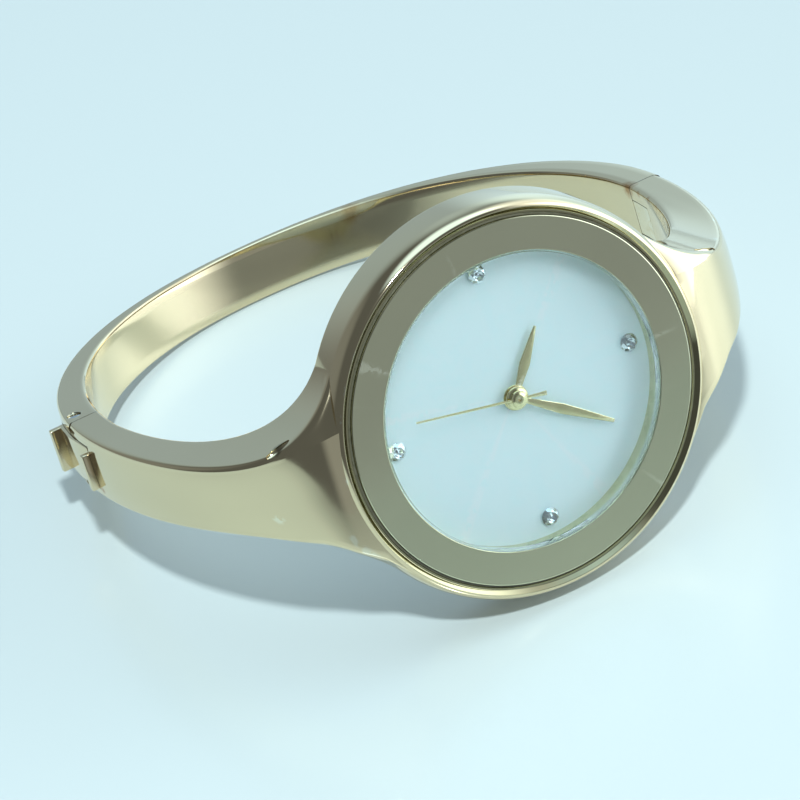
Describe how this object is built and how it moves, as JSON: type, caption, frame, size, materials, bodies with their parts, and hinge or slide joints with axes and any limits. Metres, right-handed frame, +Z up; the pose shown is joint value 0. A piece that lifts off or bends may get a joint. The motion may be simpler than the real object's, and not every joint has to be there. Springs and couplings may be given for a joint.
{
  "type": "bangle watch",
  "caption": "Round watch cast in one with a rigid bangle: hinged back half, rocking latch lever, white dial with clear stones, quartz movement inside.",
  "frame": {"origin": "middle of the bounding box on the table, as the watch lies in the picture: on the lower edge of its case and the lower edge of the bangle", "axes": "+X across the bangle from the clasp's side (6 o'clock) to the hinge's side (12 o'clock); +Y from the dial to the back of the bangle; +Z up. The dial faces -Y, tilted upwards by 16.3 degrees, with 9 o'clock at the top"},
  "size_m": [0.0639, 0.0628, 0.037],
  "materials": {
    "pale_gold": "polished pale gold plating on a cast brass body",
    "champagne_mirror": "polished flat, a shade darker than the case",
    "pin_steel": "turned steel",
    "spring_steel": "drawn spring steel",
    "clear_glass": "polished, clear",
    "crystal": "faceted, clear",
    "clear_seal": "clear gasket",
    "black_seal": "black gasket",
    "dial_white": "satin pale aqua white lacquer",
    "hand_gold": "polished pale gold",
    "wheel_brass": "fine turned",
    "magnet": "sintered magnet, dark grey",
    "stator_iron": "stamped soft iron",
    "copper_winding": "enamelled copper wire",
    "cell_steel": "plain can, unmarked",
    "plate_brass": "stamped plate",
    "bridge_steel": "stamped plate and slotted screws",
    "board_green": "lacquered board",
    "holder_plastic": "moulded white",
    "back_steel": "circular brushed, unmarked"
  },
  "bodies": {
    "case": {"front_casting": "pale_gold", "hinge_pin": "pale_gold", "catch_spring": "spring_steel", "flat_ring": "champagne_mirror", "ring_seal": "black_seal", "glass": "clear_glass", "glass_seal": "clear_seal", "dial": "dial_white", "dial_stones": "crystal", "stator": "stator_iron", "coil": "copper_winding", "button_cell": "cell_steel", "cell_clip": "spring_steel", "main_plate": "plate_brass", "train_bridge": "bridge_steel", "circuit_board": "board_green", "quartz_can": "cell_steel", "movement_holder": "holder_plastic", "movement_screws": "bridge_steel", "case_back": "back_steel", "back_seal": "black_seal", "crown_seal": "black_seal"},
    "back_half": {"back_bangle": "pale_gold", "clasp_pin": "pin_steel"},
    "latch": {"latch_lever": "pale_gold", "latch_spring": "spring_steel"},
    "hour": {"hour_hand": "hand_gold", "hour_wheel": "wheel_brass"},
    "minute": {"minute_hand": "hand_gold", "cannon_pinion": "wheel_brass", "centre_wheel": "wheel_brass"},
    "second": {"second_hand": "hand_gold", "seconds_wheel": "wheel_brass"},
    "motion": {"minute_wheel": "wheel_brass"},
    "third": {"third_wheel": "wheel_brass"},
    "fifth": {"fifth_wheel": "wheel_brass"},
    "rotor": {"rotor": "magnet"},
    "clutch": {"clutch_pinion": "pin_steel"},
    "winder": {"crown": "pale_gold", "stem": "pin_steel"}
  },
  "joints": [
    {"name": "back_half_hinge", "type": "hinge", "parent": "case", "child": "back_half", "pos_m": [0.03035, -0.00014, 0.01176], "axis": [0, -0.2806, -0.9598], "range_deg": [0, 65], "deforming": ["catch_spring"]},
    {"name": "latch_rock", "type": "hinge", "parent": "back_half", "child": "latch", "pos_m": [-0.02995, 0.00734, 0.00957], "axis": [0, -0.2806, -0.9598], "range_deg": [0, 12], "stiffness_Nm_per_rad": 0.01, "springref_deg": -11.46},
    {"name": "second_turn", "type": "hinge", "parent": "case", "child": "second", "pos_m": [0, -0.02635, 0.01942], "axis": [0, 0.9598, -0.2806], "continuous": true},
    {"name": "minute_turn", "type": "hinge", "parent": "case", "child": "minute", "pos_m": [0, -0.02635, 0.01942], "axis": [0, 0.9598, -0.2806], "continuous": true},
    {"name": "hour_turn", "type": "hinge", "parent": "case", "child": "hour", "pos_m": [0, -0.02635, 0.01942], "axis": [0, 0.9598, -0.2806], "continuous": true},
    {"name": "motion_turn", "type": "hinge", "parent": "case", "child": "motion", "pos_m": [0, -0.02567, 0.02173], "axis": [0, 0.9598, -0.2806], "continuous": true},
    {"name": "third_turn", "type": "hinge", "parent": "case", "child": "third", "pos_m": [0.0032, -0.02635, 0.01942], "axis": [0, 0.9598, -0.2806], "continuous": true},
    {"name": "fifth_turn", "type": "hinge", "parent": "case", "child": "fifth", "pos_m": [-0.0032, -0.02635, 0.01942], "axis": [0, 0.9598, -0.2806], "continuous": true},
    {"name": "rotor_turn", "type": "hinge", "parent": "case", "child": "rotor", "pos_m": [-0.00402, -0.02571, 0.02159], "axis": [0, 0.9598, -0.2806], "continuous": true},
    {"name": "crown_turn", "type": "hinge", "parent": "case", "child": "clutch", "pos_m": [0, -0.02241, 0.01827], "axis": [0, -0.2806, -0.9598], "continuous": true},
    {"name": "crown_pull", "type": "slide", "parent": "clutch", "child": "winder", "axis": [0, -0.2806, -0.9598], "range_m": [0, 0.001]}
  ],
  "couplings": [
    {"joint": "minute_turn", "follows": "second_turn", "ratio": 0.016667},
    {"joint": "hour_turn", "follows": "second_turn", "ratio": 0.0013889},
    {"joint": "motion_turn", "follows": "second_turn", "ratio": -0.0055556},
    {"joint": "third_turn", "follows": "second_turn", "ratio": -0.13333},
    {"joint": "fifth_turn", "follows": "second_turn", "ratio": -6},
    {"joint": "rotor_turn", "follows": "second_turn", "ratio": 30}
  ]
}
